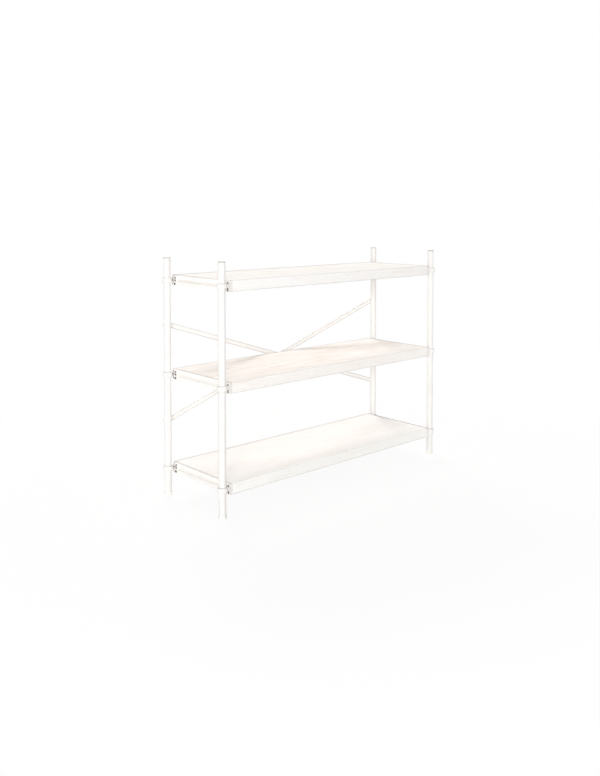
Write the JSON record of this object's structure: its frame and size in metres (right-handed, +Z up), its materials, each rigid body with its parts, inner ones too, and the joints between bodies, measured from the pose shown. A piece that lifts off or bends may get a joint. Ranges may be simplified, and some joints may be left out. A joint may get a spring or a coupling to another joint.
{
  "type": "shelving unit",
  "caption": "Low open shelving unit: timber shelves clamped to round metal posts at the corners, with a cross brace behind.",
  "frame": {"origin": "on the floor, at the centre of the unit's outer box", "axes": "+X along the shelves, +Y from the open front to the cross brace at the rear, +Z up"},
  "size_m": [1.26, 0.4098, 0.96],
  "materials": {
    "posts": "satin, off-white",
    "rings": "satin, off-white",
    "rails": "satin, off-white",
    "brace": "satin, off-white",
    "spacers": "matt, pale",
    "caps": "matt, grey",
    "feet": "matt, pale",
    "panel_bottom": "whitewashed timber, grain along the shelf",
    "panel_middle": "whitewashed timber, grain along the shelf",
    "panel_top": "whitewashed timber, grain along the shelf",
    "fascias": "whitewashed timber, grain along the shelf",
    "battens": "pale timber, plain",
    "brackets": "satin, off-white, with the tongue dipped in dark brown plastic",
    "dark_screws": "darkened steel",
    "pale_screws": "satin, off-white coated steel",
    "bright_nuts": "zinc plated",
    "brace_bolts": "darkened steel"
  },
  "bodies": {
    "root": {"post_front_left": "posts", "post_cap_front_left": "caps", "foot_front_left": "feet", "post_front_right": "posts", "post_cap_front_right": "caps", "foot_front_right": "feet", "post_rear_left": "posts", "post_cap_rear_left": "caps", "foot_rear_left": "feet", "post_rear_right": "posts", "post_cap_rear_right": "caps", "foot_rear_right": "feet", "shelf_panel_bottom": "panel_bottom", "fascia_front_bottom": "fascias", "fascia_rear_bottom": "fascias", "end_battens_bottom": "battens", "cross_battens_bottom": "battens", "corner_brackets_bottom": "brackets", "end_rail_bottom_left": "rails", "end_rail_bottom_right": "rails", "ring_clamp_bottom_front_left": "rings", "ring_clamp_bottom_front_right": "rings", "ring_clamp_bottom_rear_left": "rings", "ring_clamp_bottom_rear_right": "rings", "shelf_panel_middle": "panel_middle", "fascia_front_middle": "fascias", "fascia_rear_middle": "fascias", "end_battens_middle": "battens", "cross_battens_middle": "battens", "corner_brackets_middle": "brackets", "end_rail_middle_left": "rails", "end_rail_middle_right": "rails", "ring_clamp_middle_front_left": "rings", "ring_clamp_middle_front_right": "rings", "ring_clamp_middle_rear_left": "rings", "ring_clamp_middle_rear_right": "rings", "shelf_panel_top": "panel_top", "fascia_front_top": "fascias", "fascia_rear_top": "fascias", "end_battens_top": "battens", "cross_battens_top": "battens", "corner_brackets_top": "brackets", "end_rail_top_left": "rails", "end_rail_top_right": "rails", "ring_clamp_top_front_left": "rings", "ring_clamp_top_front_right": "rings", "ring_clamp_top_rear_left": "rings", "ring_clamp_top_rear_right": "rings", "clamp_screws": "pale_screws", "rail_screws": "dark_screws", "shelf_screws": "dark_screws", "batten_screws": "dark_screws", "clamp_nuts": "dark_screws", "rivet_nuts": "bright_nuts", "brace_centre_nut": "bright_nuts", "brace_bar_rising": "brace", "brace_bar_falling": "brace", "brace_spacers": "spacers", "brace_bolts": "brace_bolts", "brace_centre_bolt": "brace_bolts"}
  },
  "joints": []
}
